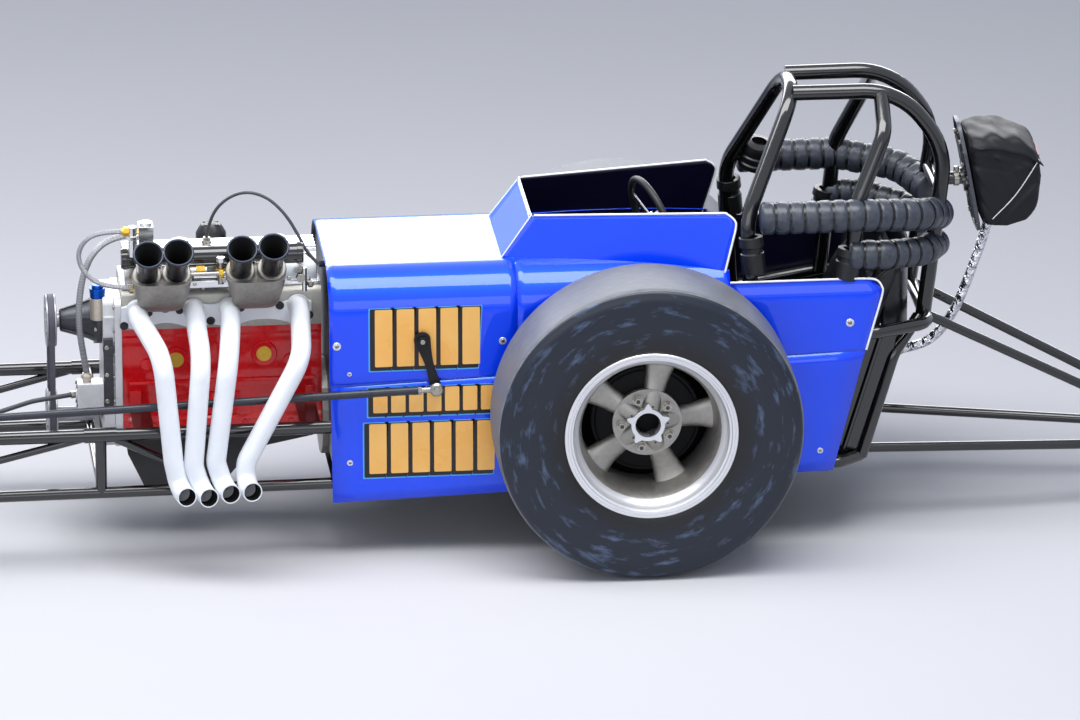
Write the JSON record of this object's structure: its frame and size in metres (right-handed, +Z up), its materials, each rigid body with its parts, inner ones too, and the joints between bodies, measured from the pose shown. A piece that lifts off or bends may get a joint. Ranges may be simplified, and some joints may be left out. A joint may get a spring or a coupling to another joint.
{
  "type": "drag racing car",
  "caption": "Long front-engined drag racing car with a tube frame, driver's cockpit behind the rear axle, roll cage, slick tyres and wheelie bar.",
  "frame": {"origin": "middle of the footprint on the ground, halfway along the car", "axes": "+X forward, +Y to the car's left, +Z up"},
  "size_m": [5.806, 1.192, 1.105],
  "materials": {
    "black_frame": "gloss black enamel on steel tube",
    "blue_body": "gloss royal blue enamel on aluminium sheet",
    "bare_aluminium": "rolled sheet",
    "red_block": "red engine enamel on cast iron",
    "black_pan": "satin black",
    "cast_aluminium": "as cast",
    "white_header": "white ceramic coat on steel tube",
    "black_stack": "black anodised",
    "steel": "bright steel",
    "belt_rubber": "grey belt",
    "webbing": "woven harness webbing",
    "black_nylon": "woven nylon",
    "black_foam": "wrapped foam",
    "tyre": "soft slick rubber",
    "cast_wheel": "cast, with a polished rim",
    "iron_drum": "dull iron",
    "wheelie_rubber": "hard rubber",
    "cord_rubber": "hose",
    "cord_steel": "braided hose",
    "foil": "foil sleeve"
  },
  "bodies": {
    "root": {"frame_rails": "black_frame", "rear_loops": "black_frame", "frame_braces": "black_frame", "roll_hoop": "black_frame", "cage_rear_tubes": "black_frame", "cage_padding": "black_foam", "rear_legs": "black_frame", "body_shell": "blue_body", "lower_side_panels": "blue_body", "cockpit_cowl": "blue_body", "firewall": "bare_aluminium", "floor_pan": "bare_aluminium", "engine_block": "red_block", "oil_pan": "black_pan", "timing_cover": "cast_aluminium", "cylinder_head": "cast_aluminium", "rocker_cover": "cast_aluminium", "exhaust_header": "white_header", "injector_bodies": "cast_aluminium", "injector_stacks": "black_stack", "fuel_fittings": "black_stack", "injector_hose": "cord_rubber", "pump_hose": "cord_steel", "throttle_cable": "cord_rubber", "water_pump": "cast_aluminium", "belt_pulleys": "steel", "drive_belt": "belt_rubber", "fuel_pump": "cast_aluminium", "magneto": "black_pan", "gearbox": "cast_aluminium", "rear_axle": "black_frame", "axle_plates": "black_frame", "front_axle": "steel", "front_links": "steel", "fuel_tank": "bare_aluminium", "seat": "black_pan", "harness": "webbing", "parachute_mount": "bare_aluminium", "parachute_pack": "black_nylon", "parachute_tether": "foil", "wheelie_bar": "black_frame", "steering_box": "black_frame"},
    "rear_left": {"rear_tyre_left": "tyre", "rear_wheel_left": "cast_wheel", "rear_hub_left": "iron_drum"},
    "rear_right": {"rear_tyre_right": "tyre", "rear_wheel_right": "cast_wheel", "rear_hub_right": "iron_drum"},
    "knuckle_left": {"knuckle_left": "steel"},
    "knuckle_right": {"knuckle_right": "steel"},
    "front_left": {"front_tyre_left": "tyre", "front_wheel_left": "cast_wheel"},
    "front_right": {"front_tyre_right": "tyre", "front_wheel_right": "cast_wheel"},
    "tie_rod": {"tie_rod": "steel"},
    "drag_link": {"drag_link": "black_frame"},
    "pitman": {"pitman_arm": "black_frame"},
    "steering_wheel": {"steering_wheel": "black_pan"},
    "wheelie_wheels": {"wheelie_wheels": "wheelie_rubber"}
  },
  "joints": [
    {"name": "rear_left_roll", "type": "hinge", "parent": "root", "child": "rear_left", "pos_m": [-1.392, 0.3975, 0.372], "axis": [0, 1, 0], "continuous": true},
    {"name": "rear_right_roll", "type": "hinge", "parent": "root", "child": "rear_right", "pos_m": [-1.392, -0.3975, 0.372], "axis": [0, 1, 0], "continuous": true},
    {"name": "steer_left", "type": "hinge", "parent": "root", "child": "knuckle_left", "pos_m": [2.608, 0.47, 0.295], "axis": [0, 0, 1], "range_deg": [-15, 15]},
    {"name": "front_left_roll", "type": "hinge", "parent": "knuckle_left", "child": "front_left", "pos_m": [2.608, 0.56, 0.295], "axis": [0, 1, 0], "continuous": true},
    {"name": "steer_right", "type": "hinge", "parent": "root", "child": "knuckle_right", "pos_m": [2.608, -0.47, 0.295], "axis": [0, 0, 1], "range_deg": [-15, 15]},
    {"name": "front_right_roll", "type": "hinge", "parent": "knuckle_right", "child": "front_right", "pos_m": [2.608, -0.56, 0.295], "axis": [0, 1, 0], "continuous": true},
    {"name": "tie_rod_swivel", "type": "hinge", "parent": "knuckle_left", "child": "tie_rod", "pos_m": [2.524, 0.47, 0.265], "axis": [0, 0, 1], "range_deg": [-15, 15]},
    {"name": "drag_link_swivel", "type": "hinge", "parent": "knuckle_left", "child": "drag_link", "pos_m": [2.608, 0.355, 0.347], "axis": [0, 0, 1], "range_deg": [-15, 15]},
    {"name": "pitman_swing", "type": "hinge", "parent": "root", "child": "pitman", "pos_m": [-0.861, 0.271, 0.554], "axis": [0, 1, 0], "range_deg": [-14.2, 14.2]},
    {"name": "steering_wheel_turn", "type": "hinge", "parent": "root", "child": "steering_wheel", "pos_m": [-1.452, 0, 0.742], "axis": [-0.9174, -0.283, 0.2797], "range_deg": [-90, 90]},
    {"name": "wheelie_roll", "type": "hinge", "parent": "root", "child": "wheelie_wheels", "pos_m": [-2.825, 0, 0.139], "axis": [0, 1, 0], "continuous": true}
  ],
  "couplings": [
    {"joint": "steer_right", "follows": "steer_left", "ratio": 1},
    {"joint": "tie_rod_swivel", "follows": "steer_left", "ratio": -1},
    {"joint": "drag_link_swivel", "follows": "steer_left", "ratio": -1},
    {"joint": "pitman_swing", "follows": "steer_left", "ratio": -0.943},
    {"joint": "steering_wheel_turn", "follows": "steer_left", "ratio": 6}
  ]
}
